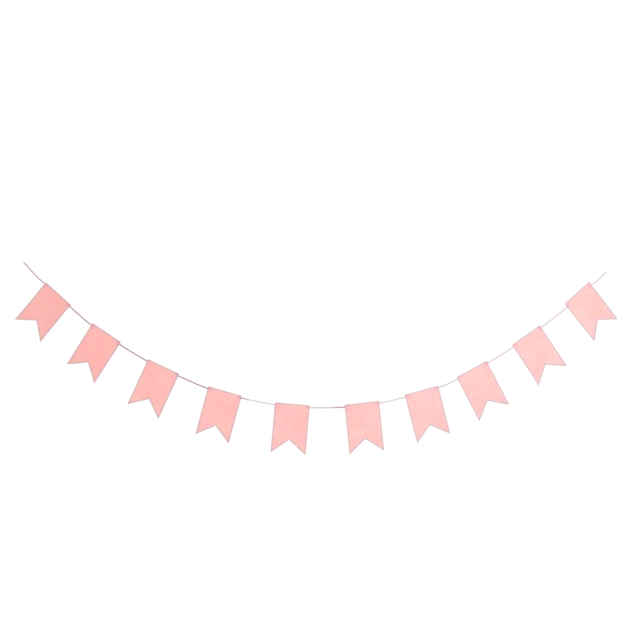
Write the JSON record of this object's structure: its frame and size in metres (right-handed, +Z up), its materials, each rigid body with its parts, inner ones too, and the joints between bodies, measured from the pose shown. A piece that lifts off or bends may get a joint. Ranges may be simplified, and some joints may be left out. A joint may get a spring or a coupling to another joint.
{
  "type": "paper party banner",
  "caption": "Pink paper bunting of swallow-tailed flags threaded on one string, hung in a shallow curve between its two free ends.",
  "frame": {"origin": "the string's left end, where the banner is held", "axes": "+X along the banner from its left end to its right end, +Z up, the flags' fronts face -Y"},
  "size_m": [2.4627, 0.0942, 0.7766],
  "materials": {
    "paper": "matt uncoated pink card",
    "string": "twisted cotton twine, dusty pink"
  },
  "bodies": {
    "root": {"flag_01": "paper", "flag_02": "paper", "flag_03": "paper", "flag_04": "paper", "flag_05": "paper", "flag_06": "paper", "flag_07": "paper", "flag_08": "paper", "flag_09": "paper", "flag_10": "paper", "string": "string"}
  },
  "joints": []
}
